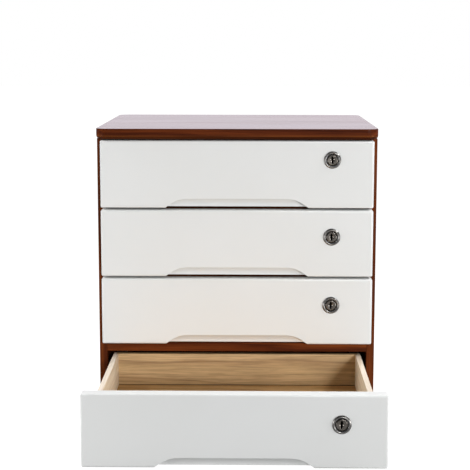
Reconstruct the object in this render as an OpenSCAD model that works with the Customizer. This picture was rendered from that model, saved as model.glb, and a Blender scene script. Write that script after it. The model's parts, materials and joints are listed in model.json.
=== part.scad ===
// Desktop cabinet with four drawers. The walnut-stained case stands on its bottom edges; each white
// front carries a cam lock and a shallow wooden box on a pair of three-part telescopic slides.
// Millimetres. Front faces -Y, +Z is up. The origin is on the resting plane, under the middle of the
// top board. The lowest drawer is drawn pulled out to its stops and the other three are shut.

/* [Case] */
// Width over the side panels, and of the top board
case_w = 360; // [330:1:430]
// Depth of the top board, front to back
top_d = 324; // [310:1:400]
// Thickness of the top board
top_t = 13.5; // [12:0.5:20]
// Corner radius of the top board, seen from above
top_corner_r = 14; // [8:1:24]
// Rounding under the edge of the top board
top_round_r = 5; // [2:0.5:8]
// How far the top board stands out in front of the case
top_overhang = 19; // [16.5:0.5:28]
// How far the top board stands out behind the case
rear_overhang = 15; // [6:1:24]
// Thickness of each side panel
side_t = 10; // [9:0.5:13]
// Thickness of the bottom panel
bottom_t = 11; // [9:0.5:14]
// Thickness of the back panel
back_t = 5; // [3:0.5:9]
// Rounding of the outer front edges of the case
case_round_r = 1.5; // [0.5:0.5:3]

/* [Rails] */
// Thickness of the rail between two drawers
rail_t = 12; // [10:0.5:15]
// Depth of a rail, front to back
rail_d = 40; // [30:1:60]
// How far the underside of a rail lies below the top edge of the front before it
rail_drop = 8.8; // [6:0.2:11]

/* [Drawer fronts] */
// Height of a drawer front
front_h = 86.6; // [82:0.2:100]
// Thickness of a drawer front
front_t = 15; // [12:0.5:15.5]
// Rounding of the edges of a front
front_round_r = 3; // [1:0.5:4]
// How far each end of a front stays inside the edge of the case
front_reveal = 5.3; // [2:0.1:9]
// Gap between the top board and the first front
top_gap = 1.3; // [1:0.1:3]
// Gap between two fronts
between_gap = 2.4; // [1.6:0.1:4]
// Gap over the lowest front
low_gap = 4.8; // [2:0.1:6]
// Gap between the lowest front and the table
table_gap = 2.6; // [1:0.1:5]
// Gap between a shut front and the case
shut_gap = 1; // [0.5:0.1:2]

/* [Finger scoop] */
// Width of the scoop at the bottom edge
scoop_w = 184; // [120:1:220]
// Width of the flat part at the top of the scoop
scoop_flat_w = 130; // [80:1:160]
// Height of the scoop on the face
scoop_h = 12; // [8:0.5:16]
// Height of the scoop at the back of the front
scoop_back_h = 1.2; // [0.6:0.1:2.5]

/* [Drawer boxes] */
// How far the box lies below the top edge of its front
box_drop = 12.6; // [10.5:0.1:16]
// Height of the box sides
box_h = 51; // [44:0.5:58]
// Length of the box behind the front
box_l = 236; // [220:1:258]
// Thickness of the box sides
box_side_t = 6.5; // [5.5:0.5:9]
// Thickness of the back wall of the box
box_back_t = 8; // [6:0.5:12]
// Thickness of the box floor
floor_t = 5; // [3:0.5:6]
// Height of the floor above the lower edge of the box
floor_up = 4; // [3:0.5:7]
// Depth of the grooves that hold the floor
groove_d = 3; // [2:0.5:4]
// Depth of the grooves in the front that hold the box sides
front_groove_d = 5; // [3:0.5:7]
// Play in glued and slotted joints
joint_play = 0.1; // [0.05:0.05:0.2]

/* [Slides] */
// Gap between the box and a side panel, filled by a slide
slide_gap = 8; // [7.5:0.5:11]
// Height of a slide
slide_h = 20; // [17:1:24]
// Length of each slide member
slide_l = 232; // [200:1:240]
// Steel thickness
slide_steel = 0.9; // [0.7:0.1:1.1]
// Height of the middle of a slide above the lower edge of the box
slide_up = 16; // [13:0.5:22]
// Running play above and below each member
slide_play = 0.15; // [0.1:0.05:0.25]
// Room beside each member
slide_room = 0.5; // [0.4:0.1:0.8]
// Distance of a slide behind the front edge of the case
slide_inset = 2; // [1:0.5:6]
// How far a drawer pulls out
travel = 226; // [120:1:226]

/* [Locks] */
// Distance of the lock from the right end of the front
lock_in = 53.2; // [50:0.1:110]
// Distance of the lock below the rail or board that it bolts into
lock_drop = 25.8; // [24.5:0.1:30]
// Diameter of the turning plug
plug_d = 16; // [14:0.5:17]
// Wall of the barrel around the plug
barrel_wall = 1.5; // [1:0.1:2]
// Running play around the plug
plug_play = 0.05; // [0.02:0.01:0.1]
// Width of the trim ring outside the barrel
ring_w = 1.5; // [1:0.1:3]
// How far the trim ring stands out from the front
ring_t = 2; // [1.5:0.1:3]
// Width of the lock case
lock_w = 30; // [27:0.5:36]
// Height of the lock case above the plug
lock_up = 23.6; // [22:0.1:24]
// Height of the lock case below the plug
lock_down = 14; // [13:0.5:18]
// Thickness of the lock case
lock_t = 11; // [10.5:0.5:14]
// Sheet thickness of the lock case
lock_wall = 1.2; // [1:0.1:1.5]
// Width of the bolt
bolt_w = 14; // [10:0.5:18]
// Thickness of the bolt
bolt_t = 3; // [2:0.5:3.5]
// Distance of the bolt behind the front
bolt_back = 5.5; // [5:0.1:6]
// Radius on which the drive pin turns
pin_r = 5.7; // [4.5:0.1:6]
// Diameter of the drive pin
pin_d = 3; // [2:0.1:3]
// Depth of the mortise that takes the bolt
mortise_h = 8; // [7:0.5:9]
// Room around the bolt in its mortise
mortise_room = 0.8; // [0.5:0.1:1.5]

/* [Fixings] */
// Diameter of the wooden dowels
dowel_d = 6; // [5:0.5:7]
// Depth of a dowel in the thinner piece
dowel_short = 7; // [5:0.5:8]
// Depth of a dowel in the longer piece
dowel_long = 20; // [12:1:24]
// Head diameter of the small screws
head_d = 5.5; // [4.5:0.1:6]
// Head height of the small screws
head_h = 1.4; // [1:0.1:1.6]
// Shank diameter of the small screws
shank_d = 2.9; // [2.4:0.1:3.2]
// Shank length of the small screws
shank_l = 6; // [4:0.5:6]

/* [Hidden] */
$fn = 64;
CASE_PARTS = [
    "top_board",
    "side_panel_left",
    "side_panel_right",
    "back_panel",
    "bottom_panel",
    "rail_1",
    "rail_2",
    "rail_3",
    "slide_outers_left",
    "slide_outers_right",
    "case_dowels",
    "slide_screws"
];
DRAWER_PARTS = [
    "drawer_front",
    "drawer_side_left",
    "drawer_side_right",
    "drawer_back",
    "drawer_floor",
    "slide_inners",
    "slide_middles",
    "lock_case",
    "lock_ring",
    "lock_plug",
    "lock_bolt",
    "drawer_screws"
];
ROWS = [1, 2, 3, 4];
LAST = 4;
SIDES = [-1, 1];
eps = 0.01;
cut = 1;

// Ends of the finger scoop: points along each curve, and how sharply it turns down
scoop_steps = 12;
scoop_power = 1.8;

// Plan of the case
case_y = -top_d / 2 + top_overhang;
case_back_y = top_d / 2 - rear_overhang;
inner_x = case_w / 2 - side_t;
back_y = case_back_y - back_t;

// Plan of a shut drawer
front_back_y = case_y - shut_gap;
front_y = front_back_y - front_t;
front_w = case_w - 2 * front_reveal;
box_x = inner_x - slide_gap;
box_in_x = box_x - box_side_t;
box_end_y = front_back_y + box_l;
box_back_y = box_end_y - box_back_t;

// Heights, counted up from the table; the drawers are numbered from the top
function gaps_over(n) = top_gap + (min(n, LAST - 1) - 1) * between_gap + (n == LAST ? low_gap : 0);
under_top_z = table_gap + LAST * front_h + gaps_over(LAST);
function front_top(n) = under_top_z - gaps_over(n) - (n - 1) * front_h;
function front_bottom(n) = front_top(n) - front_h;
function strike_z(n) = n == 1 ? under_top_z : front_top(n) - rail_drop;
function lock_z(n) = strike_z(n) - lock_drop;
function box_bottom(n) = front_top(n) - box_drop - box_h;
function slide_z(n) = box_bottom(n) + slide_up;
function pulled(n) = n == LAST ? travel : 0;

// Slides
slide_y = case_y + slide_inset;
middle_h = slide_h - 2 * (slide_steel + slide_play);
inner_h = middle_h - 2 * (slide_steel + slide_play);
slide_mid_x = (inner_x + box_x) / 2;
outer_screw_in = 25;
inner_screw_in = 35;

// Locks
lock_x = front_w / 2 - lock_in;
barrel_r = plug_d / 2 + barrel_wall;
ring_r = barrel_r + ring_w;
ring_round_r = 0.7;
ring_lip = 0.5;
pin_side = pin_r * sin(45);
bolt_rise = 2 * pin_side;
bolt_slot_play = 0.3;
bolt_foot_w = 20;
bolt_foot_down = 10;
bolt_foot_up = 6;
keyway_w = 2.2;
keyway_h = 9;
keyway_d = 12;
ear_w = 8;
ear_h = 20;

// Dowels
dowel_play = 0.3;
top_dowel_in = 30;
rail_dowel_in = 10;

// ---- shared shapes ----

// Extrudes a shape drawn in X and Z from y0 to y1
module along_y(y0, y1) {
    translate([0, y1, 0])
        rotate([90, 0, 0])
            linear_extrude(y1 - y0)
                children();
}

// Extrudes a shape drawn in Y and Z from x0 to x1
module along_x(x0, x1) {
    translate([x0, 0, 0])
        rotate([90, 0, 90])
            linear_extrude(x1 - x0)
                children();
}

// A round rod along Y
module rod_y(y0, y1, d) {
    translate([0, y1, 0])
        rotate([90, 0, 0])
            cylinder(h = y1 - y0, d = d);
}

// A block between two corners
module block(low, high) {
    translate(low)
        cube(high - low);
}

// A rectangle between two corners with every corner rounded
module round_rect(low, high, r) {
    translate([low[0] + r, low[1]])
        square([high[0] - low[0] - 2 * r, high[1] - low[1]]);
    translate([low[0], low[1] + r])
        square([high[0] - low[0], high[1] - low[1] - 2 * r]);
    for (x = [low[0] + r, high[0] - r])
        for (y = [low[1] + r, high[1] - r])
            translate([x, y])
                circle(r);
}

// A small pan-head screw along X: s is the side that its point looks to
module pan_screw(s) {
    rotate([0, s * 90, 0]) {
        translate([0, 0, -head_h / 2])
            cylinder(h = head_h / 2 + shank_l, d = shank_d);
        translate([0, 0, -head_h])
            cylinder(h = head_h, d = head_d);
    }
}

// The hole for such a screw, open on the side of the head
module screw_hole(s) {
    rotate([0, s * 90, 0])
        translate([0, 0, -cut])
            cylinder(h = cut + shank_l + joint_play, d = shank_d + joint_play);
}

// A dowel along Z, its shorter end up
module dowel() {
    cylinder(h = dowel_long + dowel_short, d = dowel_d);
}

// The hole for a dowel, with room at both ends
module dowel_hole() {
    translate([0, 0, -dowel_play])
        cylinder(h = dowel_long + dowel_short + 2 * dowel_play, d = dowel_d + joint_play);
}

// ---- case ----

// At each dowel between the top board and the side panels
module at_top_dowels() {
    for (s = SIDES)
        for (y = [case_y + top_dowel_in, (case_y + case_back_y) / 2, case_back_y - top_dowel_in])
            translate([s * (inner_x + side_t / 2), y, under_top_z - dowel_long])
                children();
}

// At each dowel between one cross piece and the side panels, at height z and the given depths
module at_cross_dowels(z, depths) {
    for (s = SIDES)
        for (y = depths)
            translate([s * (inner_x - dowel_long), y, z])
                rotate([0, s * 90, 0])
                    children();
}

module at_rail_dowels(n) {
    at_cross_dowels(strike_z(n + 1) + rail_t / 2, [case_y + rail_dowel_in, case_y + rail_d - rail_dowel_in])
        children();
}

module at_bottom_dowels() {
    at_cross_dowels(bottom_t / 2, [case_y + top_dowel_in, (case_y + back_y) / 2, back_y - top_dowel_in])
        children();
}

// The pocket over a lock that takes its bolt
module mortise(n) {
    y0 = front_back_y + bolt_back - mortise_room;
    y1 = y0 + bolt_t + 2 * mortise_room;
    half_w = bolt_w / 2 + mortise_room;
    block([lock_x - half_w, y0, strike_z(n) - cut], [lock_x + half_w, y1, strike_z(n) + mortise_h]);
}

// Edge of the top board: square above, rounded below
module board_edge(half, r) {
    translate([-half, r])
        square([2 * half, top_t - r]);
    translate([-half + r, 0])
        square([2 * half - 2 * r, r + eps]);
    for (s = SIDES)
        translate([s * (half - r), r])
            circle(r);
}

// A round corner of the top board, as a disc
module board_corner() {
    rotate_extrude()
        intersection() {
            board_edge(top_corner_r, top_round_r);
            square([top_corner_r, top_t]);
        }
}

module top_board() {
    color([0.36, 0.2, 0.13])
        difference() {
            translate([0, 0, under_top_z]) {
                for (x = SIDES)
                    for (y = SIDES)
                        translate([x * (case_w / 2 - top_corner_r), y * (top_d / 2 - top_corner_r), 0])
                            board_corner();
                along_y(-top_d / 2 + top_corner_r, top_d / 2 - top_corner_r)
                    board_edge(case_w / 2, top_round_r);
                along_x(-case_w / 2 + top_corner_r, case_w / 2 - top_corner_r)
                    board_edge(top_d / 2, top_round_r);
            }
            at_top_dowels()
                dowel_hole();
            mortise(1);
        }
}

// Outline of a side panel from above, its outer front edge rounded
module side_panel_plan() {
    r = case_round_r;
    translate([inner_x, case_y])
        square([side_t - r, case_back_y - case_y]);
    translate([inner_x, case_y + r])
        square([side_t, case_back_y - case_y - r]);
    translate([inner_x + side_t - r, case_y + r])
        circle(r);
}

module side_panel(s) {
    color([0.42, 0.2, 0.1])
        difference() {
            mirror([s < 0 ? 1 : 0, 0, 0])
                linear_extrude(under_top_z)
                    side_panel_plan();
            at_top_dowels()
                dowel_hole();
            at_bottom_dowels()
                dowel_hole();
            for (n = [1:LAST - 1])
                at_rail_dowels(n)
                    dowel_hole();
            for (n = ROWS)
                at_outer_screws(n, s)
                    screw_hole(s);
        }
}

module back_panel() {
    color([0.5, 0.34, 0.2])
        block([-inner_x, back_y, 0], [inner_x, case_back_y, under_top_z]);
}

module bottom_panel() {
    color([0.4, 0.2, 0.1])
        difference() {
            block([-inner_x, case_y, 0], [inner_x, back_y, bottom_t]);
            at_bottom_dowels()
                dowel_hole();
        }
}

// Rail n stands between drawers n and n + 1, its lower front edge rounded
module rail(n) {
    z = strike_z(n + 1);
    r = case_round_r;
    color([0.42, 0.16, 0.08])
        difference() {
            along_x(-inner_x, inner_x) {
                translate([case_y, z + r])
                    square([rail_d, rail_t - r]);
                translate([case_y + r, z])
                    square([rail_d - r, rail_t]);
                translate([case_y + r, z + r])
                    circle(r);
            }
            at_rail_dowels(n)
                dowel_hole();
            mortise(n + 1);
        }
}

module case_dowels() {
    color([0.8, 0.65, 0.45]) {
        at_top_dowels()
            dowel();
        at_bottom_dowels()
            dowel();
        for (n = [1:LAST - 1])
            at_rail_dowels(n)
                dowel();
    }
}

// ---- slides ----

// Outer member: a channel that opens towards the drawer
module outer_section() {
    x0 = box_x + slide_room;
    difference() {
        translate([x0, -slide_h / 2])
            square([inner_x - x0, slide_h]);
        translate([x0 - cut, -slide_h / 2 + slide_steel])
            square([inner_x - slide_steel - x0 + cut, slide_h - 2 * slide_steel]);
    }
}

// Middle member: one web with flanges to both sides
module middle_section() {
    x0 = box_x + slide_steel + slide_room;
    x1 = inner_x - slide_steel - slide_room;
    for (z = [-middle_h / 2, middle_h / 2 - slide_steel])
        translate([x0, z])
            square([x1 - x0, slide_steel]);
    translate([slide_mid_x - slide_steel / 2, -middle_h / 2])
        square([slide_steel, middle_h]);
}

// Inner member: a channel on the box that opens towards the side panel
module inner_section() {
    x1 = slide_mid_x - slide_steel / 2 - slide_room;
    difference() {
        translate([box_x, -inner_h / 2])
            square([x1 - box_x, inner_h]);
        translate([box_x + slide_steel, -inner_h / 2 + slide_steel])
            square([x1 - box_x, inner_h - 2 * slide_steel]);
    }
}

// One slide member of drawer n on side s, moved forward by shift
module slide_member(n, s, shift) {
    translate([0, -shift, slide_z(n)])
        mirror([s < 0 ? 1 : 0, 0, 0])
            along_y(slide_y, slide_y + slide_l)
                children();
}

// At each screw through the outer member into a side panel
module at_outer_screws(n, s) {
    for (y = [slide_y + outer_screw_in, slide_y + slide_l - outer_screw_in])
        translate([s * (inner_x - slide_steel), y, slide_z(n)])
            children();
}

// At each screw through the inner member into a side of the box
module at_inner_screws(n, s) {
    for (y = [slide_y + inner_screw_in, slide_y + slide_l - inner_screw_in])
        translate([s * (box_x + slide_steel), y - pulled(n), slide_z(n)])
            children();
}

module slide_outers(s) {
    color([0.72, 0.73, 0.75])
        for (n = ROWS)
            difference() {
                slide_member(n, s, 0)
                    outer_section();
                at_outer_screws(n, s)
                    screw_hole(s);
            }
}

module slide_middles(n) {
    color([0.62, 0.63, 0.66])
        for (s = SIDES)
            slide_member(n, s, pulled(n) / 2)
                middle_section();
}

module slide_inners(n) {
    color([0.76, 0.77, 0.8])
        for (s = SIDES)
            difference() {
                slide_member(n, s, pulled(n))
                    inner_section();
                at_inner_screws(n, s)
                    screw_hole(-s);
            }
}

module slide_screws() {
    color([0.55, 0.55, 0.58])
        for (n = ROWS)
            for (s = SIDES)
                at_outer_screws(n, s)
                    pan_screw(s);
}

// ---- drawers ----

// Outline of the scoop on the face: a flat top that curves down to the bottom edge at each end
function scoop_fall(t) = scoop_h * (1 - pow(t, scoop_power));
function scoop_end(s) = [
    for (k = [0:scoop_steps])
        let (t = (s > 0 ? k : scoop_steps - k) / scoop_steps)
            [s * (scoop_flat_w + t * (scoop_w - scoop_flat_w)) / 2, scoop_fall(t)]
];

module scoop_face() {
    polygon(concat(scoop_end(-1), scoop_end(1), [[scoop_w / 2, -cut], [-scoop_w / 2, -cut]]));
}

// Height of the bevel above the bottom edge at depth y
function bevel_h(y) = scoop_h - (scoop_h - scoop_back_h) * (y - front_y) / front_t;

// The scoop is cut on a slant, from its full height on the face to a sliver at the back
module scoop(z) {
    y0 = front_y - cut;
    y1 = front_back_y + cut;
    translate([0, 0, z])
        intersection() {
            along_y(y0, y1)
                scoop_face();
            along_x(-scoop_w / 2 - cut, scoop_w / 2 + cut)
                polygon([[y0, -2 * cut], [y0, bevel_h(y0)], [y1, bevel_h(y1)], [y1, -2 * cut]]);
        }
}

// A front with its four face edges rounded, shut
module front_slab(z0, z1) {
    r = front_round_r;
    x = front_w / 2;
    intersection() {
        along_y(front_y, front_back_y)
            round_rect([-x, z0], [x, z1], r);
        along_x(-x, x) {
            round_rect([front_y, z0], [front_back_y, z1], r);
            translate([front_y + r, z0])
                square([front_t - r, z1 - z0]);
        }
        translate([0, 0, z0])
            linear_extrude(z1 - z0) {
                round_rect([-x, front_y], [x, front_back_y], r);
                translate([-x, front_y + r])
                    square([2 * x, front_t - r]);
            }
    }
}

module drawer_front(n) {
    floor_z = box_bottom(n) + floor_up;
    color([0.93, 0.93, 0.91])
        translate([0, -pulled(n), 0])
            difference() {
                front_slab(front_bottom(n), front_top(n));
                scoop(front_bottom(n));
                translate([lock_x, 0, lock_z(n)])
                    rod_y(front_y - cut, front_back_y + cut, 2 * (barrel_r + joint_play));
                for (s = SIDES)
                    mirror([s < 0 ? 1 : 0, 0, 0])
                        block([box_in_x - joint_play, front_back_y - front_groove_d - joint_play,
                               box_bottom(n) - joint_play],
                              [box_x + joint_play, front_back_y + cut, box_bottom(n) + box_h + joint_play]);
                block([-box_in_x, front_back_y - groove_d - joint_play, floor_z - joint_play],
                      [box_in_x, front_back_y + cut, floor_z + floor_t + joint_play]);
                translate([0, pulled(n), 0])
                    at_lock_screws(n)
                        screw_hole(-1);
            }
}

module drawer_side(n, s) {
    z = box_bottom(n);
    groove_z0 = z + floor_up - joint_play;
    groove_z1 = z + floor_up + floor_t + joint_play;
    color([0.87, 0.76, 0.6])
        difference() {
            translate([0, -pulled(n), 0])
                mirror([s < 0 ? 1 : 0, 0, 0])
                    difference() {
                        block([box_in_x, front_back_y - front_groove_d, z], [box_x, box_end_y, z + box_h]);
                        block([box_in_x - cut, front_back_y - front_groove_d - cut, groove_z0],
                              [box_in_x + groove_d, box_back_y + groove_d, groove_z1]);
                        block([box_in_x - cut, box_back_y - joint_play, z - cut],
                              [box_in_x + groove_d, box_end_y + cut, z + box_h + cut]);
                    }
            at_inner_screws(n, s)
                screw_hole(-s);
        }
}

module drawer_back(n) {
    z = box_bottom(n);
    half_w = box_in_x + groove_d - joint_play;
    color([0.8, 0.66, 0.46])
        translate([0, -pulled(n), 0])
            difference() {
                block([-half_w, box_back_y, z], [half_w, box_end_y, z + box_h]);
                block([-half_w - cut, box_back_y - cut, z + floor_up - joint_play],
                      [half_w + cut, box_back_y + groove_d, z + floor_up + floor_t + joint_play]);
            }
}

module drawer_floor(n) {
    z = box_bottom(n) + floor_up;
    half_w = box_in_x + groove_d - joint_play;
    end_y = box_back_y + groove_d - joint_play;
    color([0.76, 0.6, 0.4])
        translate([0, -pulled(n), 0])
            difference() {
                block([-half_w, front_back_y - groove_d, z], [half_w, end_y, z + floor_t]);
                for (s = SIDES)
                    mirror([s < 0 ? 1 : 0, 0, 0])
                        block([box_in_x - 2 * joint_play, front_back_y - groove_d - cut, z - cut],
                              [half_w + cut, front_back_y + joint_play, z + floor_t + cut]);
            }
}

// ---- locks: drawn at the lock's own axis, with y = 0 on the back of the front ----

module at_lock(n) {
    translate([lock_x, front_back_y - pulled(n), lock_z(n)])
        children();
}

// At each screw through the ears of the lock case into the front
module at_lock_screws(n) {
    at_lock(n)
        for (s = SIDES)
            translate([s * (lock_w + ear_w) / 2, lock_wall, 0])
                rotate([0, 0, 90])
                    children();
}

module lock_case(n) {
    bolt_hole_w = bolt_w + 4 * joint_play;
    ear_x = lock_w / 2 + ear_w;
    color([0.6, 0.6, 0.62])
        difference() {
            at_lock(n)
                difference() {
                    union() {
                        block([-lock_w / 2, 0, -lock_down], [lock_w / 2, lock_t, lock_up]);
                        block([-ear_x, 0, -ear_h / 2], [ear_x, lock_wall, ear_h / 2]);
                        rod_y(-front_t - ring_t + ring_lip + joint_play, lock_wall, 2 * barrel_r);
                    }
                    block([-lock_w / 2 + lock_wall, lock_wall, -lock_down + lock_wall],
                          [lock_w / 2 - lock_wall, lock_t - lock_wall, lock_up - lock_wall]);
                    block([-bolt_hole_w / 2, bolt_back - joint_play, lock_up - lock_wall - cut],
                          [bolt_hole_w / 2, bolt_back + bolt_t + joint_play, lock_up + cut]);
                    rod_y(-front_t - ring_t - cut, lock_wall + cut, plug_d + 2 * plug_play);
                }
            at_lock_screws(n)
                screw_hole(-1);
        }
}

// Section of the trim ring: radius, then distance out from the face
module ring_section() {
    difference() {
        union() {
            translate([barrel_r + joint_play, 0])
                square([ring_w - joint_play, ring_t - ring_round_r]);
            translate([plug_d / 2 + 2 * joint_play, ring_t - ring_lip])
                square([ring_r - ring_round_r - plug_d / 2 - 2 * joint_play, ring_lip]);
            translate([barrel_r + joint_play, ring_t - ring_round_r - eps])
                square([ring_w - joint_play - ring_round_r, ring_round_r]);
            translate([ring_r - ring_round_r, ring_t - ring_round_r])
                circle(ring_round_r);
        }
        translate([plug_d / 2 + 2 * joint_play - cut, -cut])
            square([barrel_wall + cut - joint_play, ring_t - ring_lip + cut]);
    }
}

module lock_ring(n) {
    color([0.75, 0.75, 0.76])
        at_lock(n)
            translate([0, -front_t, 0])
                rotate([90, 0, 0])
                    rotate_extrude()
                        ring_section();
}

module lock_plug(n) {
    face_y = -front_t - ring_t + ring_lip;
    color([0.5, 0.5, 0.52])
        at_lock(n)
            difference() {
                union() {
                    rod_y(face_y, bolt_back - bolt_slot_play, plug_d);
                    translate([-pin_side, 0, -pin_side])
                        rod_y(bolt_back - bolt_slot_play - eps, bolt_back + bolt_t - joint_play, pin_d);
                }
                block([-keyway_w / 2, face_y - cut, -keyway_h / 2],
                      [keyway_w / 2, face_y + keyway_d, keyway_h / 2]);
            }
}

module lock_bolt(n) {
    y0 = bolt_back;
    y1 = bolt_back + bolt_t;
    slot_h = pin_d + 2 * bolt_slot_play;
    slot_x = -pin_side + pin_d / 2 + bolt_slot_play;
    color([0.7, 0.7, 0.72])
        at_lock(n)
            difference() {
                union() {
                    block([-bolt_w / 2, y0, 0], [bolt_w / 2, y1, lock_up - joint_play]);
                    block([-bolt_foot_w / 2, y0, -bolt_foot_down], [bolt_foot_w / 2, y1, bolt_foot_up]);
                }
                block([-bolt_foot_w / 2 - cut, y0 - cut, -pin_side - slot_h / 2],
                      [slot_x, y1 + cut, -pin_side + slot_h / 2]);
            }
}

module drawer_screws(n) {
    color([0.55, 0.55, 0.58]) {
        for (s = SIDES)
            at_inner_screws(n, s)
                pan_screw(-s);
        at_lock_screws(n)
            pan_screw(-1);
    }
}

// ---- nodes ----

top_board();
side_panel(-1);  // side_panel_left
side_panel(1);  // side_panel_right
back_panel();
bottom_panel();
slide_outers(-1);  // slide_outers_left
slide_outers(1);  // slide_outers_right
case_dowels();
slide_screws();
for (n = [1:LAST - 1])
    rail(n);
for (n = ROWS) {
    drawer_front(n);
    drawer_side(n, -1);
    drawer_side(n, 1);
    drawer_back(n);
    drawer_floor(n);
    slide_inners(n);
    slide_middles(n);
    lock_case(n);
    lock_ring(n);
    lock_plug(n);
    lock_bolt(n);
    drawer_screws(n);
}
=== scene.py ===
import json
import math

import bmesh
import bpy
from mathutils import Matrix, Vector


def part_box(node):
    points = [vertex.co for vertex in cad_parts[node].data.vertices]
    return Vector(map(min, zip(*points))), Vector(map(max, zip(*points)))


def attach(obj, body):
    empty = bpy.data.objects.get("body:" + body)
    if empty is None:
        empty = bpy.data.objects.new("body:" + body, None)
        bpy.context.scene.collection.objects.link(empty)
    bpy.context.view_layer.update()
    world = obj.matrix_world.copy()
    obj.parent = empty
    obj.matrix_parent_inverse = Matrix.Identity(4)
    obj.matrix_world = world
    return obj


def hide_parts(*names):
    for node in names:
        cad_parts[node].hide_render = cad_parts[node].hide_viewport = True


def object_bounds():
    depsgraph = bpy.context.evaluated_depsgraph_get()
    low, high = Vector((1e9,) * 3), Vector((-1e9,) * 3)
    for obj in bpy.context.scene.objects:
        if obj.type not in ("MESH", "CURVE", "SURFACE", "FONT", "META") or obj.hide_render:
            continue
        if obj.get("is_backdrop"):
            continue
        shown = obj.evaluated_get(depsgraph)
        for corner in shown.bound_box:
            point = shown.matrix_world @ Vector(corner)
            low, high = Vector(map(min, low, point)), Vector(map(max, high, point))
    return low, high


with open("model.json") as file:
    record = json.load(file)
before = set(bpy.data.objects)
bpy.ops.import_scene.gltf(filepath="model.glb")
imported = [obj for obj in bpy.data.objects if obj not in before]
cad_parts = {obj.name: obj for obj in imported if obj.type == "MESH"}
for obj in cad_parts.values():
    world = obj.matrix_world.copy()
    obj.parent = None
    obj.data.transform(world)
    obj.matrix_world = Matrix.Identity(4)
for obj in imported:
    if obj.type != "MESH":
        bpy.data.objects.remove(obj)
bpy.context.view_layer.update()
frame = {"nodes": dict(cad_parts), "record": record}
nodes = frame["nodes"]


# ---- Side panels and bottom panel -------------------------------------------------------------------
# The carcass is made of 10 and 11 mm boards, stained to a dark red walnut and sprayed with satin
# lacquer. The boards are butted and dowelled, the grain of the sides runs from floor to top, and
# every edge is eased with sandpaper before the stain.

MM = 0.001


def add(tree, kind, **values):
    """Adds one shader node; each value goes to the property of its name or else to that input."""
    node = tree.nodes.new(kind)
    for name, value in values.items():
        if hasattr(node, name):
            setattr(node, name, value)
        else:
            node.inputs[name.replace("_", " ")].default_value = value
    return node


def ramp(tree, source, stops):
    """A colour ramp over source, from a list of (place, colour)."""
    node = tree.nodes.new("ShaderNodeValToRGB")
    marks = node.color_ramp.elements
    while len(marks) < len(stops):
        marks.new(0.5)
    for mark, (place, colour) in zip(marks, stops):
        mark.position = place
        mark.color = (*colour, 1)
    tree.links.new(source, node.inputs[0])
    return node.outputs[0]


def ranged(tree, source, low, high, to_low, to_high):
    """Maps source from low..high to to_low..to_high."""
    node = tree.nodes.new("ShaderNodeMapRange")
    limits = {"From Min": low, "From Max": high, "To Min": to_low, "To Max": to_high}
    for name, value in limits.items():
        node.inputs[name].default_value = value
    tree.links.new(source, node.inputs["Value"])
    return node.outputs[0]


def mixed(tree, kind, share, low, high):
    """Mixes two colours; share, low and high are sockets or values."""
    node = tree.nodes.new("ShaderNodeMix")
    node.data_type = "RGBA"
    node.blend_type = kind
    for place, value in ((0, share), (6, low), (7, high)):
        if isinstance(value, bpy.types.NodeSocket):
            tree.links.new(value, node.inputs[place])
        else:
            node.inputs[place].default_value = value
    return node.outputs[2]


def noise(tree, vector, scale, detail=2.0, roughness=0.5):
    """A noise texture over vector."""
    node = add(tree, "ShaderNodeTexNoise", Scale=scale, Detail=detail, Roughness=roughness)
    tree.links.new(vector, node.inputs["Vector"])
    return node


def material(name, **surface):
    """A new material with its node tree and its Principled shader, which takes the given values."""
    made = bpy.data.materials.new(name)
    made.use_nodes = True
    shader = made.node_tree.nodes["Principled BSDF"]
    for socket, value in surface.items():
        shader.inputs[socket.replace("_", " ")].default_value = value
    return made, made.node_tree, shader


def bumped(tree, shader, height, strength, depth):
    """Raises the surface with height, up to a depth."""
    bump = add(tree, "ShaderNodeBump", Strength=strength, Distance=depth)
    tree.links.new(height, bump.inputs["Height"])
    tree.links.new(bump.outputs[0], shader.inputs["Normal"])


# The turn that lays a grain along each axis onto X
GRAIN_TURN = {"x": (0, 0, 0), "y": (0, 0, -math.pi / 2), "z": (0, math.pi / 2, 0)}


def placed(tree, grain, offset):
    """Object coordinates turned so that the grain runs along X, then shifted."""
    node = add(tree, "ShaderNodeMapping", vector_type="POINT")
    node.inputs["Rotation"].default_value = GRAIN_TURN[grain]
    node.inputs["Location"].default_value = offset
    tree.links.new(tree.nodes.new("ShaderNodeTexCoord").outputs["Object"], node.inputs["Vector"])
    return node.outputs[0]


def stretched(tree, vector, scale):
    """Coordinates scaled along and across the grain."""
    node = add(tree, "ShaderNodeMapping", vector_type="POINT")
    node.inputs["Scale"].default_value = scale
    tree.links.new(vector, node.inputs["Vector"])
    return node.outputs[0]


# How often each part of the figure changes in a metre, along the grain and across it
CLOUD_GRAIN = (2.2, 16, 16)
RING_GRAIN = (0.12, 1, 1)
THREAD_GRAIN = (14, 900, 900)
FLECK_GRAIN = (22, 300, 300)
RING_BEND = (0.0, 30 * MM, 30 * MM)  # how far the clouds push the growth rings
PORE_DEPTH = 0.1 * MM


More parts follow.
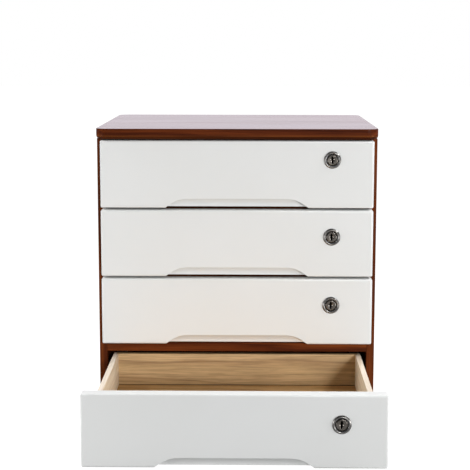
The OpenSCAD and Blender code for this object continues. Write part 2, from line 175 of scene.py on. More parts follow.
def wood(name, grain, offset, figure, fibre, ring, wave, depth=0.3, rough=(0.3, 0.42),
         blotch=(0.86, 1.08), fleck=1.0, **surface):
    """Sawn wood: growth rings in the colours of figure, crossed by fibres, clouds and flecks.

    ring sets how close the rings lie and wave how much they waver, depth how open the pores are. The
    flecks are short marks that keep only the share fleck of the colour.
    """
    made, tree, shader = material(name, **surface)
    turned = placed(tree, grain, offset)
    slow = noise(tree, stretched(tree, turned, CLOUD_GRAIN), 1.0)
    shift = tree.nodes.new("ShaderNodeVectorMath")
    shift.operation = "MULTIPLY_ADD"
    tree.links.new(slow.outputs["Color"], shift.inputs[0])
    shift.inputs[1].default_value = RING_BEND
    tree.links.new(turned, shift.inputs[2])
    rings = add(tree, "ShaderNodeTexWave", wave_type="RINGS", rings_direction="X", wave_profile="SAW",
                Scale=ring, Distortion=wave, Detail=3.0, Detail_Scale=1.2, Detail_Roughness=0.55)
    tree.links.new(stretched(tree, shift.outputs[0], RING_GRAIN), rings.inputs["Vector"])
    threads = noise(tree, stretched(tree, turned, THREAD_GRAIN), 1.0, 3.0, 0.6).outputs["Fac"]
    colour = mixed(tree, "MULTIPLY", 1.0, ramp(tree, rings.outputs["Fac"], figure),
                   ramp(tree, threads, fibre))
    if fleck < 1:
        flecks = noise(tree, stretched(tree, turned, FLECK_GRAIN), 1.0, 3.0, 0.6).outputs["Fac"]
        marks = [(0.38, (fleck, 0.98 * fleck, 0.95 * fleck)), (0.6, (1.03, 1.03, 1.03))]
        colour = mixed(tree, "MULTIPLY", 1.0, colour, ramp(tree, flecks, marks))
    dark, light = blotch
    clouds = ramp(tree, slow.outputs["Fac"], [(0.3, (dark, dark, dark)), (0.7, (light, light, light))])
    tree.links.new(mixed(tree, "MULTIPLY", 1.0, colour, clouds), shader.inputs["Base Color"])
    tree.links.new(ranged(tree, threads, 0.3, 0.7, rough[1], rough[0]), shader.inputs["Roughness"])
    bumped(tree, shader, threads, depth, PORE_DEPTH)
    return made


WALNUT = [(0.0, (0.155, 0.038, 0.009)), (0.45, (0.125, 0.029, 0.007)),
          (0.8, (0.075, 0.016, 0.005)), (1.0, (0.145, 0.034, 0.008))]
WALNUT_FIBRE = [(0.35, (0.66, 0.60, 0.55)), (0.6, (1.1, 1.1, 1.1))]
WALNUT_RING, WALNUT_WAVE = 34, 5
SATIN = 0.04  # how much the satin lacquer mirrors, where a plain varnish has 0.5


def walnut(name, grain, offset, figure=WALNUT):
    """Walnut stain under satin lacquer."""
    return wood(name, grain, offset, figure, WALNUT_FIBRE, WALNUT_RING, WALNUT_WAVE,
                Specular_IOR_Level=SATIN)


BODY = {node: body for body, held in frame["record"]["behaviour"]["bodies"].items()
        for node in held}

SAME_POINT = 0.001 * MM    # points closer than this are one
SAME_HEIGHT = 0.01 * MM    # and points this close in height lie at the same level
FLAT = math.radians(0.2)   # faces that turn less than this are one flat
CORNER = math.radians(30)  # edges that turn more than this are eased
CREASE = math.radians(40)  # and those that turn more than this shade as a corner
END_ROOM = 2.2             # every edge at the ends of an eased one is longer than so many widths
NARROW = 3.5 * MM          # only faces narrower than this belong to a rounding
LARGE = 30 * MM * MM       # larger faces in the plane of a neighbour belong to a flat


def at_height(edge, z):
    """Whether an edge lies level at the height z."""
    return all(abs(v.co.z - z) < SAME_HEIGHT for v in edge.verts)


def copy_of(name):
    """The shape of a CAD node with its doubles merged and its flat faces whole."""
    bm = bmesh.new()
    bm.from_mesh(nodes[name].data)
    bmesh.ops.remove_doubles(bm, verts=bm.verts, dist=SAME_POINT)
    bmesh.ops.dissolve_limit(bm, angle_limit=FLAT, verts=bm.verts, edges=bm.edges)
    return bm


def bevelled(bm, edges, width, segments=2):
    """Rounds edges to a width."""
    bmesh.ops.bevel(bm, geom=edges, offset=width, offset_type="OFFSET", segments=segments,
                    profile=0.5, affect="EDGES", clamp_overlap=False, material=-1)


def soften(bm, width, least, joint_z=None):
    """Rounds the sharp edges longer than least.

    Edges level at joint_z lie in a glued joint and stay sharp, as do those that end in small details.
    """
    bevelled(bm, [e for e in bm.edges if e.is_manifold and e.calc_face_angle(0) > CORNER
                  and e.calc_length() > least and not (joint_z and at_height(e, joint_z))
                  and all(f.calc_length() > END_ROOM * width for v in e.verts for f in v.link_edges)],
             width)


def shade_round(bm):
    """Narrow faces that bend a little into their neighbours shade smooth, all others flat."""
    for edge in bm.edges:
        edge.smooth = edge.is_manifold and edge.calc_face_angle(0) < CREASE
    for face in bm.faces:
        width = face.calc_area() / max(e.calc_length() for e in face.edges)
        angles = [e.calc_face_angle(0) for e in face.edges if e.is_manifold]
        bends = any(FLAT < a < CREASE for a in angles)
        part_of_flat = any(a < FLAT for a in angles) and face.calc_area() > LARGE
        face.smooth = bends and width < NARROW and not part_of_flat


def piece(bm, name, stands_for, finishes, replaces=True):
    """Makes an object of bm that moves with a CAD node and by default replaces it."""
    mesh = bpy.data.meshes.new(name)
    bm.to_mesh(mesh)
    bm.free()
    made = bpy.data.objects.new(name, mesh)
    bpy.context.scene.collection.objects.link(made)
    for finish in finishes:
        mesh.materials.append(finish)
    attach(made, BODY[stands_for])
    if replaces:
        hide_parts(stands_for)


FACES_UP = 0.5  # a face is on top if more than this part of its normal points up


def eased(name, finish, width, least=2 * MM, on_top=None, joint_z=None):
    """Replaces a CAD node with its own shape, its edges eased; on_top finishes the faces on top."""
    bm = copy_of(name)
    soften(bm, width, least, joint_z)
    shade_round(bm)
    for face in bm.faces:
        face.material_index = 1 if on_top and face.normal.z > FACES_UP else 0
    piece(bm, f"{name}_eased", name, [finish, on_top] if on_top else [finish])


BOARD_EASE = 0.6 * MM
under_top_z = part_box("top_board")[0].z
eased("side_panel_left", walnut("walnut_side_left", "z", (0.3, 0.02, 0.11)), BOARD_EASE,
      joint_z=under_top_z)
eased("side_panel_right", walnut("walnut_side_right", "z", (1.7, 0.05, 0.14)), BOARD_EASE,
      joint_z=under_top_z)
eased("bottom_panel", walnut("walnut_bottom", "x", (0.9, 0.3, 0.08)), BOARD_EASE)


# ---- Back panel -------------------------------------------------------------------------------------
# A 5 mm board let in between the sides behind the drawers. It is stained like them but left matt, as
# the back of a cabinet is.

BACK_EASE = 0.5 * MM
back_stain = wood("back_board_stain", "z", (2.3, 0.1, 0.2), WALNUT, WALNUT_FIBRE, ring=30, wave=7,
                  depth=0.5, rough=(0.5, 0.65), Specular_IOR_Level=0.3)
eased("back_panel", back_stain, BACK_EASE)


# ---- Rails ------------------------------------------------------------------------------------------
# Three rails of the same stained wood are dowelled between the sides and divide the openings. Each has
# the mortise that a bolt rises into. The upper two, which the fronts hide, are painted darker: painted
# shade for the shadow in the narrow gaps between the fronts.

SHADE_KEPT = 0.4  # the share of its colour that the painted shade keeps
SHADED_WALNUT = [(place, tuple(SHADE_KEPT * part for part in colour)) for place, colour in WALNUT]
for n, figure in ((1, SHADED_WALNUT), (2, SHADED_WALNUT), (3, WALNUT)):
    eased(f"rail_{n}", walnut(f"walnut_rail_{n}", "x", (0.7 * n, 0.11 * n, 0.05), figure), BOARD_EASE)


# ---- Top board --------------------------------------------------------------------------------------
# Walnut veneer on a 13.5 mm board, the corners and the lower edge rounded, the upper edge eased, all
# under a clear gloss lacquer that mirrors the room at a low angle.

def banded(made, low_z, high_z, stops):
    """Multiplies the colour of a material by a ramp over the height from low_z to high_z."""
    tree = made.node_tree
    where = tree.nodes.new("ShaderNodeSeparateXYZ")
    tree.links.new(tree.nodes.new("ShaderNodeTexCoord").outputs["Object"], where.inputs[0])
    bands = ramp(tree, ranged(tree, where.outputs[2], low_z, high_z, 0.0, 1.0), stops)
    base = tree.nodes["Principled BSDF"].inputs["Base Color"]
    tree.links.new(mixed(tree, "MULTIPLY", 1.0, base.links[0].from_socket, bands), base)
    return made


STREAK_GRAIN = (3, 20, 20)
THIN_COAT, FULL_COAT = 0.84, 1.0  # the lacquer's weight in and between the streaks
bm = copy_of("top_board")
top_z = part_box("top_board")[1].z
bevelled(bm, [e for e in bm.edges if at_height(e, top_z) and e.calc_face_angle(0) > CORNER],
         BOARD_EASE, 3)
shade_round(bm)
for face in bm.faces:
    level = face.calc_center_median().z > top_z - SAME_HEIGHT
    face.material_index = 1 if level and face.normal.z > FACES_UP else 0
gloss_top = wood("walnut_gloss", "x", (0.2, 0.06, 0.1), WALNUT, WALNUT_FIBRE, ring=26, wave=5,
                 depth=0.12, rough=(0.3, 0.4), Specular_IOR_Level=0.2, Coat_Roughness=0.05)
tree = gloss_top.node_tree
streaks = noise(tree, stretched(tree, placed(tree, "x", (0, 0, 0)), STREAK_GRAIN), 1.0, 3.0, 0.5)
tree.links.new(ranged(tree, streaks.outputs["Fac"], 0.35, 0.65, THIN_COAT, FULL_COAT),
               tree.nodes["Principled BSDF"].inputs["Coat Weight"])

# The edge is painted darker at the top arris and under the rounding, and lighter in a band between
# them: painted shade and a painted highlight.
EDGE_SHADE_AND_HIGHLIGHT = [(0.0, (0.45, 0.45, 0.45)), (0.20, (0.5, 0.5, 0.5)), (0.31, (1.25, 1.6, 1.6)),
              (0.42, (0.80, 0.72, 0.72)), (0.84, (0.85, 0.75, 0.75)), (1.0, (0.5, 0.45, 0.45))]
satin_edge = banded(walnut("walnut_edge", "x", (0.2, 0.06, 0.1)), under_top_z, top_z, EDGE_SHADE_AND_HIGHLIGHT)
piece(bm, "top_board_veneered", "top_board", [satin_edge, gloss_top])


# ---- Case dowels ------------------------------------------------------------------------------------
# Beech dowels glued into holes in the ends of the boards, hidden in the joints. Those under the top
# board would show a little below its rounded edge, so there they have taken the stain.

BEECH = [(0.0, (0.62, 0.42, 0.24)), (0.6, (0.55, 0.35, 0.19)), (1.0, (0.48, 0.30, 0.16))]
BEECH_FIBRE = [(0.3, (0.82, 0.78, 0.74)), (0.6, (1.05, 1.05, 1.05))]
STAIN = [(0.0, (1.0, 1.0, 1.0)), (1.0, (0.10, 0.04, 0.02))]
STAINED_FROM = 1 * MM  # how far below the top board the stain begins
beech = wood("beech", "x", (0.1, 0.2, 0.3), BEECH, BEECH_FIBRE, ring=90, wave=3, rough=(0.6, 0.7),
             Specular_IOR_Level=0.1)
banded(beech, under_top_z - STAINED_FROM, under_top_z, STAIN)
for slot in nodes["case_dowels"].material_slots:
    slot.material = beech


# ---- Slides -----------------------------------------------------------------------------------------
# Telescopic slides of rolled 0.9 mm steel with a bright zinc coat, drawn out along the depth, and the
# screws with cross recesses that fix them to the sides of the case.

DRAWERS = (1, 2, 3, 4)
ROLLING_GRAIN = (20, 1500, 1500)
ROLLING_DEPTH = 0.05 * MM


def zinc(name, grain, colour, rough):
    """Zinc-plated steel with fine rolling lines along the grain and a faint blue or yellow bloom."""
    made, tree, shader = material(name, Metallic=1.0)
    turned = placed(tree, grain, (0, 0, 0))
    lines = noise(tree, stretched(tree, turned, ROLLING_GRAIN), 1.0).outputs["Fac"]
    bloom = noise(tree, turned, scale=45.0).outputs["Fac"]
    tint = ramp(tree, bloom, [(0.3, (0.93, 0.97, 1.04)), (0.7, (1.05, 1.0, 0.92))])
    tree.links.new(mixed(tree, "MULTIPLY", 1.0, (*colour, 1), tint), shader.inputs["Base Color"])
    tree.links.new(ranged(tree, lines, 0.0, 1.0, rough - 0.08, rough + 0.1), shader.inputs["Roughness"])
    bumped(tree, shader, lines, strength=0.15, depth=ROLLING_DEPTH)
    return made


def ring_of(bm, points):
    """Adds one closed ring of vertices."""
    return [bm.verts.new(p) for p in points]


def lofted(bm, rings):
    """Joins rings of the same count with faces, one after the other, and closes both ends."""
    for low, high in zip(rings, rings[1:]):
        for k in range(len(low)):
            bm.faces.new((low[k - 1], low[k], high[k], high[k - 1]))
    bm.faces.new(rings[0])
    bm.faces.new(rings[-1])


def unit_circle(count):
    """Evenly spread points of a circle of radius 1."""
    turns = [2 * math.pi * k / count for k in range(count)]
    return [(math.cos(turn), math.sin(turn)) for turn in turns]


def each_screw(bm):
    """The separate screws of bm, each as a list of vertices."""
    left = dict.fromkeys(bm.verts)
    while left:
        shell, reach = [], [left.popitem()[0]]
        while reach:
            vertex = reach.pop()
            shell.append(vertex)
            for edge in vertex.link_edges:
                other = edge.other_vert(vertex)
                if other in left:
                    del left[other]
                    reach.append(other)
        yield shell


HEAD_DOME = 0.35    # share of the head's height taken by its dome
DOME_ROUND = ((0.72, 0.10), (0.86, 0.40), (0.95, 0.75), (1.0, 1.15))  # shares of radius, of dome
CROSS_ARM = 0.62    # reach of the cross recess as a share of the head's radius
CROSS_HALF = 0.14   # half the width of its arms, likewise
CROSS_RIM = 0.12    # depth of its rim as a share of the dome
CROSS_DEPTH = 0.69  # depth of its floor as a share of the head's height
CROSS_TAPER = 0.6   # size of its floor as a share of its rim
SCREW_STEPS = 48    # points round a screw
TINY = 1e-9         # keeps a division off zero


def cross_outline(circle):
    """A cross for a head of radius 1, with one point in each direction of circle."""
    reach = [min(CROSS_ARM, CROSS_HALF / max(min(abs(c), abs(s)), TINY)) for c, s in circle]
    return [(r * c, r * s) for r, (c, s) in zip(reach, circle)]


def screw_sizes(shell):
    """One screw's axis, the middle of its head's top, the way that faces, and its sizes."""
    low = Vector([min(p.co[i] for p in shell) for i in range(3)])
    high = Vector([max(p.co[i] for p in shell) for i in range(3)])
    size, middle = high - low, (low + high) / 2
    axis = min(range(3), key=lambda i: abs(size[(i + 1) % 3] - size[(i + 2) % 3]))
    u, v = [i for i in range(3) if i != axis]
    off_axis = {p: math.hypot(p.co[u] - middle[u], p.co[v] - middle[v]) for p in shell}
    radii = [max(off_axis[p] for p in shell if abs(p.co[axis] - end[axis]) < SAME_HEIGHT)
             for end in (low, high)]
    head_r, shank_r = max(radii), min(radii)
    out = 1 if radii[1] > radii[0] else -1
    top = middle.copy()
    top[axis] = (high if out > 0 else low)[axis]
    head_h = max(abs(top[axis] - p.co[axis]) for p in shell if off_axis[p] > head_r - SAME_HEIGHT)
    return axis, top, out, head_r, head_h, shank_r, size[axis]


def recessed_screws(name, finish):
    """Rebuilds every screw of a CAD node on its own axis, with a domed head and a cross recess."""
    source = copy_of(name)
    circle = unit_circle(SCREW_STEPS)
    cross = cross_outline(circle)
    bm = bmesh.new()
    for shell in each_screw(source):
        axis, top, out, head_r, head_h, shank_r, length = screw_sizes(shell)
        u, v = [i for i in range(3) if i != axis]

        def ring(depth, outline, scale):
            """Adds a scaled outline at a depth below the top of the head."""
            points = []
            for a, b in outline:
                point = list(top)
                point[axis] -= out * depth
                point[u] += scale * a
                point[v] += scale * b
                points.append(point)
            return ring_of(bm, points)

        dome = HEAD_DOME * head_h
        rings = [ring(CROSS_DEPTH * head_h, cross, CROSS_TAPER * head_r),
                 ring(CROSS_RIM * dome, cross, head_r)]
        rings += [ring(depth * dome, circle, share * head_r) for share, depth in DOME_ROUND]
        rings += [ring(head_h, circle, head_r), ring(head_h, circle, shank_r),
                  ring(length, circle, shank_r)]
        lofted(bm, rings)
    source.free()
    bmesh.ops.recalc_face_normals(bm, faces=bm.faces)
    shade_round(bm)
    piece(bm, f"{name}_recessed", name, [finish])


METAL_EASE = 0.2 * MM
METAL_LEAST = 1 * MM  # shorter edges of metal pieces stay as they are
slide_zinc = zinc("slide_zinc", "y", (0.60, 0.61, 0.63), 0.34)
for side in ("left", "right"):
    eased(f"slide_outers_{side}", slide_zinc, METAL_EASE, METAL_LEAST)
for n in DRAWERS:
    for kind in ("middles", "inners"):
        eased(f"slide_{kind}_{n}", slide_zinc, METAL_EASE, METAL_LEAST)

screw_zinc = zinc("screw_zinc", "x", (0.62, 0.63, 0.65), 0.3)
recessed_screws("slide_screws", screw_zinc)


# ---- Drawer fronts ----------------------------------------------------------------------------------
# Each front is a 15 mm board with its edges rounded and a long finger scoop milled under it, steep
# where it starts and upright at its lower lip, all sprayed with white satin lacquer.

PEEL_DEPTH = 0.05 * MM


def lacquer(name, colour):
    """Sprayed lacquer: even, with a very fine orange peel and a slightly uneven sheen."""
    made, tree, shader = material(name, Coat_Weight=0.2, Coat_Roughness=0.25, Specular_IOR_Level=0.4)
    where = tree.nodes.new("ShaderNodeTexCoord").outputs["Object"]
    peel = noise(tree, where, scale=700.0).outputs["Fac"]
    cloud = noise(tree, where, scale=9.0, detail=3.0).outputs["Fac"]
    shade = ramp(tree, cloud, [(0.3, (0.985, 0.985, 0.98)), (0.7, (1.0, 1.0, 1.0))])
    tree.links.new(mixed(tree, "MULTIPLY", 1.0, (*colour, 1), shade), shader.inputs["Base Color"])
    tree.links.new(ranged(tree, cloud, 0.3, 0.7, 0.36, 0.46), shader.inputs["Roughness"])
    bumped(tree, shader, peel, strength=0.06, depth=PEEL_DEPTH)
    return made


SCOOP_W, SCOOP_FLAT_W = 184 * MM, 130 * MM  # at the bottom edge, and along its flat top
SCOOP_H, SCOOP_BACK_H = 12 * MM, 1.2 * MM   # at the face, and at the back of the front
SCOOP_POWER = 1.8                           # how sharply its outline turns down at the ends
COVE_FROM = 0.5 * MM                        # the cove starts so far behind the face
COVE_Y, COVE_Z = 8.5 * MM, 1.2 * MM         # its lip: behind the face, above the front's bottom
COVE_SHORT = 1.2 * MM                       # and it ends so far before the back
COVE_STEPS, LIP_STEPS = 14, 6
LIP_R = 0.7 * MM                            # rounding of the lip
EMBED = 0.25 * MM                           # how far the cove reaches into the board around it


def scoop_reach(height):
    """Half the width of the scoop's outline at a height above the front's bottom."""
    share = max(0.0, 1 - height / SCOOP_H) ** (1 / SCOOP_POWER)
    return (SCOOP_FLAT_W + share * (SCOOP_W - SCOOP_FLAT_W)) / 2


def cove_section(front_t):
    """Points (behind the face, above the bottom) round the cove: its hollow, its lip and its back."""
    slope = (SCOOP_H - SCOOP_BACK_H) / front_t
    start = Vector((COVE_FROM, SCOOP_H - slope * COVE_FROM))
    corner = Vector((COVE_Y, SCOOP_H - slope * COVE_Y))
    end = Vector((COVE_Y, COVE_Z + LIP_R))
    points = []
    for k in range(COVE_STEPS + 1):
        share = k / COVE_STEPS
        points.append(start.lerp(corner, share).lerp(corner.lerp(end, share), share))
    for k in range(1, LIP_STEPS + 1):
        turn = math.pi / 2 * k / LIP_STEPS
        points.append(end + LIP_R * Vector((1 - math.cos(turn), -math.sin(turn))))
    back = front_t - COVE_SHORT
    points.append(Vector((back, COVE_Z)))
    points.append(Vector((back, SCOOP_H - slope * back + EMBED)))
    points.append(Vector((COVE_FROM, start.y + EMBED)))
    return points


FRONT_EASE = 0.4 * MM
FRONT_LEAST = 1.2 * MM
white = lacquer("white_satin", (0.80, 0.81, 0.805))
for n in DRAWERS:
    front = f"drawer_front_{n}"
    eased(front, white, FRONT_EASE, FRONT_LEAST)
    low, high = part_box(front)
    bm = bmesh.new()
    section = cove_section(high.y - low.y)
    lofted(bm, [ring_of(bm, [(side * (scoop_reach(p.y) + EMBED), low.y + p.x, low.z + p.y)
                             for p in section]) for side in (-1, 1)])
    bmesh.ops.recalc_face_normals(bm, faces=bm.faces)
    shade_round(bm)
    piece(bm, f"scoop_cove_{n}", front, [white], replaces=False)


# ---- Drawer boxes -----------------------------------------------------------------------------------
# A shallow box of pale solid wood is glued into the back of each front. Its sides and back are
# grooved for a thin floor. The back is painted darker just above the floor, painted shade for the
# shadow in that joint, and the tops of the sides are painted lighter than their faces, painted light
# from above.

PALE = [(0.0, (0.68, 0.475, 0.25)), (0.70, (0.64, 0.44, 0.22)), (0.90, (0.58, 0.385, 0.19)),
        (0.955, (0.48, 0.305, 0.145)), (1.0, (0.66, 0.455, 0.24))]
PALE_FIBRE = [(0.3, (0.86, 0.83, 0.79)), (0.6, (1.06, 1.06, 1.06))]
BACK_FIBRE = [(0.3, (0.78, 0.74, 0.69)), (0.6, (1.08, 1.08, 1.08))]
SIDE = [(0.0, (0.85, 0.76, 0.61)), (0.6, (0.81, 0.71, 0.56)), (0.9, (0.72, 0.60, 0.45)),
        (1.0, (0.83, 0.74, 0.59))]
# The tops of the box sides are painted lighter than their faces: painted light, for the light that
# falls on them from above.
SIDE_TOP_LIT = [(0.0, (0.88, 0.78, 0.66)), (0.6, (0.84, 0.73, 0.60)), (0.9, (0.76, 0.62, 0.47)),
            (1.0, (0.86, 0.76, 0.64))]
PLY = [(0.0, (0.66, 0.42, 0.19)), (0.5, (0.60, 0.375, 0.165)), (0.85, (0.47, 0.27, 0.11)),
       (1.0, (0.65, 0.41, 0.18))]
# Painted shade: the back darkens just above the floor, for the shadow in the joint.
JOINT_SHADE = [(0.0, (0.22, 0.2, 0.17)), (0.6, (0.22, 0.2, 0.17)), (1.0, (1.0, 1.0, 1.0))]
JOINT_SHADE_H = 1.2 * MM
BOX_EASE, FLOOR_EASE = 0.4 * MM, 0.3 * MM
PLANED = (0.42, 0.55)  # how rough the planed wood is


def side_wood(name, n, figure):
    """Wood of the two box sides of drawer n."""
    return wood(name, "y", (0.6 * n, 0.04, 0.05), figure, PALE_FIBRE, ring=40, wave=4, rough=PLANED)


for n in DRAWERS:
    back_wood = wood(f"box_back_wood_{n}", "x", (0.4 * n, 0.03, 0.034 + 0.07 * n), PALE, BACK_FIBRE,
                     ring=9, wave=9, rough=PLANED, fleck=0.8)
    floor_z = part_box(f"drawer_floor_{n}")[1].z
    eased(f"drawer_back_{n}", banded(back_wood, floor_z, floor_z + JOINT_SHADE_H, JOINT_SHADE), BOX_EASE)
    faces = side_wood(f"box_side_wood_{n}", n, SIDE)
    tops = side_wood(f"box_side_top_painted_light_{n}", n, SIDE_TOP_LIT)
    for side in ("left", "right"):
        eased(f"drawer_side_{side}_{n}", faces, BOX_EASE, on_top=tops)
    floor_ply = wood(f"floor_ply_{n}", "x", (0.8 * n, 0.2, 0.03), PLY, PALE_FIBRE, ring=22, wave=8,
                     rough=(0.45, 0.6), Specular_IOR_Level=0.15)
    eased(f"drawer_floor_{n}", floor_ply, FLOOR_EASE)


# ---- Locks ------------------------------------------------------------------------------------------
# A cam lock in each front: a pressed case with a bolt, screwed on behind; in front a nickel-plated
# trim ring with a bevelled flank and, inside a deep groove, the plug with a dimple around its keyway.
# Its screws are one piece with those of the drawer's slides.

def nickel(name, colour, rough):
    """Bright nickel plate, a little hazed."""
    made, tree, shader = material(name, Metallic=1.0)
    where = tree.nodes.new("ShaderNodeTexCoord").outputs["Object"]
    haze = noise(tree, where, scale=260.0, detail=3.0, roughness=0.6).outputs["Fac"]
    tint = ramp(tree, haze, [(0.3, (0.85, 0.84, 0.83)), (0.65, (1.0, 1.0, 1.0))])
    tree.links.new(mixed(tree, "MULTIPLY", 1.0, (*colour, 1), tint), shader.inputs["Base Color"])
    tree.links.new(ranged(tree, haze, 0.0, 1.0, rough - 0.05, rough + 0.12), shader.inputs["Roughness"])
    return made


ROUND_STEPS = 96  # points round a ring or a plug

# Sections of the trim ring and of the plug's rim and groove: (radius, out of the front's face) in mm
RING_SECTION = ((9.6, 0.0), (10.9, 0.0), (11.0, 0.12), (11.0, 0.6), (10.93, 0.8), (10.7, 1.05),
                (9.75, 1.8), (9.5, 1.95), (9.25, 2.0), (9.0, 1.97), (8.75, 1.88), (8.3, 1.6),
                (8.2, 1.5), (9.6, 1.5))
RIM_SECTION = ((5.85, 1.45), (6.6, 0.95), (6.75, 0.75), (6.85, 0.0), (7.0, -0.2), (7.8, -0.2),
               (8.0, 0.0))
PLUG_R, PLUG_OUT = 8.0 * MM, 1.5 * MM
GROOVE = (6.76 * MM, 7.99 * MM)             # the groove's faces have their middles between these radii
FACE_R, FACE_OUT = 5.7 * MM, 1.45 * MM      # the plug's face inside its rim
FACE_RINGS = 12
DISH_R, DISH_DEPTH = 5.6 * MM, 0.12 * MM    # the whole face is slightly hollow
DIMPLE_Z, DIMPLE_DEPTH = 0.3 * MM, 1.0 * MM
DIMPLE_FLOOR_R, DIMPLE_R = 1.2 * MM, 3.1 * MM
KEYWAY_W, KEYWAY_H, KEYWAY_D = 2.2 * MM, 9.0 * MM, 12.0 * MM
KEYWAY_EASE = 0.35 * MM
KEYWAY_R, KEYWAY_FROM = 5 * MM, 1 * MM      # its walls lie inside this radius, behind this depth
PIN_R, PIN_L, PIN_SIDE = 1.5 * MM, 3.2 * MM, 4.03 * MM  # the cam pin behind the plug
PIN_SHIFT = 0.3 * MM                        # it starts so far inside the plug and ends as far short


def gentle_step(low, high, value):
    """Goes from 0 at low to 1 at high without a corner."""
    share = min(1.0, max(0.0, (value - low) / (high - low)))
    return share * share * (3 - 2 * share)


def plug_height(x, z):
    """How far the plug's face stands out of the front: dished, with a dimple around the keyway."""
    dish = DISH_DEPTH * (1 - min(1.0, math.hypot(x, z) / DISH_R) ** 2)
    from_dimple = math.hypot(x, z - DIMPLE_Z)
    dimple = DIMPLE_DEPTH * (1 - gentle_step(DIMPLE_FLOOR_R, DIMPLE_R, from_dimple))
    return FACE_OUT - dish - dimple


def slot_outline(circle, width, height):
    """A rectangle with one point in each direction of circle."""
    points = []
    for c, s in circle:
        along = min(width / 2 / max(abs(c), TINY), height / 2 / max(abs(s), TINY))
        points.append((c * along, s * along))
    return points


def lock_middle(n):
    """The middle of lock n on the face of its front."""
    low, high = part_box(f"lock_ring_{n}")
    return (low.x + high.x) / 2, high.y, (low.z + high.z) / 2


def trim_ring(n):
    """Spins the ring's section once round the axis of the lock."""
    x, y, z = lock_middle(n)
    bm = bmesh.new()
    section = [bm.verts.new((x + r * MM, y - out * MM, z)) for r, out in RING_SECTION]
    outline = [bm.edges.new((section[k - 1], section[k])) for k in range(len(section))]
    bmesh.ops.spin(bm, geom=section + outline, cent=(x, y, z), axis=(0, 1, 0), angle=2 * math.pi,
                   steps=ROUND_STEPS, use_merge=True)
    bmesh.ops.remove_doubles(bm, verts=bm.verts, dist=SAME_POINT)
    bmesh.ops.recalc_face_normals(bm, faces=bm.faces)
    shade_round(bm)
    piece(bm, f"lock_ring_bevelled_{n}", f"lock_ring_{n}", [ring_nickel])


def plug(n):
    """Lofts the plug from the end of its keyway over its face, rim and groove to its back."""
    x, y, z = lock_middle(n)
    pin_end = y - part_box(f"lock_plug_{n}")[1].y
    plug_end = pin_end + PIN_L
    circle = unit_circle(ROUND_STEPS)
    slot = slot_outline(circle, KEYWAY_W, KEYWAY_H)
    flare = slot_outline(circle, KEYWAY_W + 2 * KEYWAY_EASE, KEYWAY_H + 2 * KEYWAY_EASE)
    bm = bmesh.new()

    def ring(points):
        """Adds a ring of points (across, up, out of the front's face) from the lock's middle."""
        return ring_of(bm, [(x + a, y - out, z + b) for a, b, out in points])

    def round_ring(radius, out, aside=0.0):
        """Adds a circle, set aside by the same length across and down."""
        return ring([(radius * c - aside, radius * s - aside, out) for c, s in circle])

    rings = [ring([(a, b, PLUG_OUT - KEYWAY_D) for a, b in slot]),
             ring([(a, b, plug_height(a, b) - KEYWAY_EASE) for a, b in slot])]
    for k in range(FACE_RINGS + 1):
        share = k / FACE_RINGS
        spread = [[f[i] + (FACE_R * c[i] - f[i]) * share for i in (0, 1)]
                  for f, c in zip(flare, circle)]
        rings.append(ring([(a, b, plug_height(a, b)) for a, b in spread]))
    rings += [round_ring(r * MM, out * MM) for r, out in RIM_SECTION]
    rings.append(round_ring(PLUG_R, plug_end))
    lofted(bm, rings)
    lofted(bm, [round_ring(PIN_R, out + PIN_SHIFT, PIN_SIDE) for out in (plug_end, pin_end)])
    bmesh.ops.recalc_face_normals(bm, faces=bm.faces)
    shade_round(bm)
    # Faces in the groove and in the keyway take the painted shade.
    for face in bm.faces:
        spot = face.calc_center_median()
        across, behind = math.hypot(spot.x - x, spot.z - z), spot.y - y
        in_groove = GROOVE[0] < across < GROOVE[1] and behind < KEYWAY_FROM
        in_keyway = across < KEYWAY_R and KEYWAY_FROM < behind < KEYWAY_D
        face.material_index = 1 if in_groove or in_keyway else 0
    piece(bm, f"lock_plug_dimpled_{n}", f"lock_plug_{n}", [plug_nickel, groove_painted_shade])


BOLT_EASE = 0.3 * MM
ring_nickel = nickel("ring_nickel", (0.25, 0.243, 0.235), 0.28)
plug_nickel = nickel("plug_nickel", (0.205, 0.188, 0.17), 0.24)
# Painted shade: the groove round the plug and the walls of the keyway are near black, for the shadow
# deep in them.
groove_painted_shade = nickel("groove_and_keyway_shade", (0.035, 0.03, 0.025), 0.5)
lock_zinc = zinc("lock_zinc", "z", (0.42, 0.43, 0.45), 0.36)
for n in DRAWERS:
    trim_ring(n)
    plug(n)
    eased(f"lock_case_{n}", lock_zinc, METAL_EASE, METAL_LEAST)
    eased(f"lock_bolt_{n}", lock_zinc, BOLT_EASE, METAL_LEAST)
    recessed_screws(f"drawer_screws_{n}", screw_zinc)


# ---- Studio -----------------------------------------------------------------------------------------
# A pale table in a room that is white behind and dark in front. A long strip lamp hangs overhead, soft
# light comes from beside the camera, from two low and two high soft boxes at the sides, and two small
# lamps give the glints on the locks.

DARK_UP_TO, WHITE_FROM = -0.1, 0.3  # the y of a direction, which grows towards the back
room = bpy.data.worlds.new("studio")
bpy.context.scene.world = room
room.use_nodes = True
tree = room.node_tree
tree.nodes.clear()
aim = tree.nodes.new("ShaderNodeTexCoord").outputs["Generated"]
parts = tree.nodes.new("ShaderNodeSeparateXYZ")
tree.links.new(aim, parts.inputs[0])
paths = tree.nodes.new("ShaderNodeLightPath")
behind = ranged(tree, parts.outputs[1], DARK_UP_TO, WHITE_FROM, 0.0, 1.0)
mirrored = mixed(tree, "MIX", behind, (0.06, 0.06, 0.06, 1), (0.795, 0.745, 0.81, 1))
spread = mixed(tree, "MIX", behind, (0.0, 0.0, 0.0, 1), (0.6, 0.6, 0.6, 1))
lit = mixed(tree, "MIX", paths.outputs["Is Diffuse Ray"], mirrored, spread)
sky = tree.nodes.new("ShaderNodeBackground")
backdrop = mixed(tree, "MIX", paths.outputs["Is Camera Ray"], lit, (1, 1, 1, 1))
tree.links.new(backdrop, sky.inputs["Color"])
out = tree.nodes.new("ShaderNodeOutputWorld")
tree.links.new(sky.outputs[0], out.inputs["Surface"])

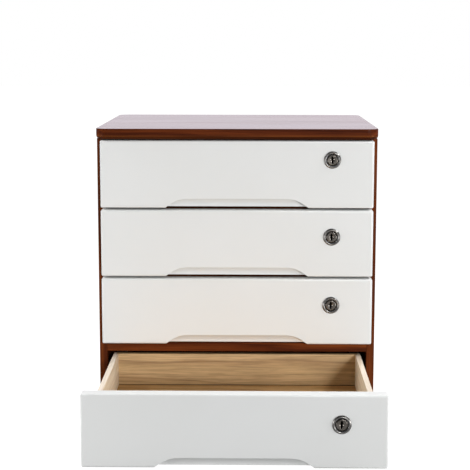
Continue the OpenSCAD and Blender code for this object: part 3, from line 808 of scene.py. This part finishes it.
TABLE_HALF = 12  # half its width in metres, so that its edge is out of sight
bm = bmesh.new()
bmesh.ops.create_grid(bm, x_segments=1, y_segments=1, size=TABLE_HALF)
table_mesh = bpy.data.meshes.new("table_top")
bm.to_mesh(table_mesh)
bm.free()
table_top = bpy.data.objects.new("table_top", table_mesh)
bpy.context.scene.collection.objects.link(table_top)
pale = bpy.data.materials.new("pale_table")
pale.use_nodes = True
tree = pale.node_tree
tree.nodes.clear()
glow = add(tree, "ShaderNodeEmission", Color=(1, 1, 1, 1))
seen = tree.nodes.new("ShaderNodeLightPath").outputs["Is Camera Ray"]
tree.links.new(ranged(tree, seen, 0.0, 1.0, 0.12, 1.0), glow.inputs["Strength"])
matt = add(tree, "ShaderNodeBsdfDiffuse", Color=(0.24, 0.24, 0.24, 1))
both = tree.nodes.new("ShaderNodeAddShader")
tree.links.new(glow.outputs[0], both.inputs[0])
tree.links.new(matt.outputs[0], both.inputs[1])
out = tree.nodes.new("ShaderNodeOutputMaterial")
tree.links.new(both.outputs[0], out.inputs["Surface"])
table_mesh.materials.append(pale)
table_top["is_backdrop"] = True


def lamp(name, kind, energy, place, target, **values):
    """A lamp at place that shines at target."""
    data = bpy.data.lights.new(name, kind)
    data.energy = energy
    for key, value in values.items():
        setattr(data, key, value)
    made = bpy.data.objects.new(name, data)
    bpy.context.scene.collection.objects.link(made)
    made.location = place
    made.rotation_mode = "QUATERNION"
    made.rotation_quaternion = (Vector(target) - Vector(place)).to_track_quat("-Z", "Y")


def soft_box(name, watts, place, target, width, height):
    """A flat lamp with a rectangular face."""
    lamp(name, "AREA", watts, place, target, shape="RECTANGLE", size=width, size_y=height)


DRAWER_EDGE = (0, -0.19, 0.0766)
FRONTS = (0, -0.16, 0.15)
LOCKS = (0.12, -0.25, 0.2)
SUN_HEIGHT, SUN_WIDTH = math.radians(12.5), math.radians(9)
soft_box("overhead_strip", 9, (0, -0.027, 1.8), DRAWER_EDGE, 2.4, 0.02)
lamp("beside_camera", "SUN", 1.46, (0.27, -1.0, math.tan(SUN_HEIGHT)), (0, 0, 0), angle=SUN_WIDTH)
soft_box("low_right", 2.65, (0.85, -0.64, 0.11), FRONTS, 0.5, 0.2)
soft_box("low_left", 2.65, (-0.85, -0.64, 0.11), FRONTS, 0.5, 0.2)
soft_box("high_right", 8.5, (1.1, -0.06, 1.0), DRAWER_EDGE, 0.6, 0.06)
soft_box("high_left", 6, (-1.1, -0.10, 1.0), DRAWER_EDGE, 0.5, 0.06)
soft_box("glint_right", 2.2, (1.0, -0.55, 1.1), LOCKS, 0.3, 0.07)
soft_box("glint_left", 0.8, (-1.0, -0.55, 1.1), LOCKS, 0.2, 0.12)

# The camera stands 1.65 m in front of the top board, a little above it, and looks slightly down.
PITCH, YAW, ROLL = 0.1482, -0.01213, 0.001289
EYE = (0.01769, -1.8081, 0.4836)
FOCAL_LENGTH, SENSOR_W = 99.57, 36  # in mm
SIGHT = 50                          # how far it sees, in metres
ahead = Vector((math.sin(YAW) * math.cos(PITCH), math.cos(YAW) * math.cos(PITCH), -math.sin(PITCH)))
level_right = Vector((math.cos(YAW), -math.sin(YAW), 0))
level_up = level_right.cross(ahead)
right = level_right * math.cos(ROLL) + level_up * math.sin(ROLL)
up = level_up * math.cos(ROLL) - level_right * math.sin(ROLL)
lens = bpy.data.cameras.new("camera")
lens.sensor_width = SENSOR_W
lens.lens = FOCAL_LENGTH
lens.clip_end = SIGHT
camera = bpy.data.objects.new("camera", lens)
bpy.context.scene.collection.objects.link(camera)
turned = Matrix((right, up, -ahead)).transposed()
camera.matrix_world = Matrix.Translation(EYE) @ turned.to_4x4()
bpy.context.scene.camera = camera
bpy.context.scene.view_settings.view_transform = "Standard"

low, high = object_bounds()
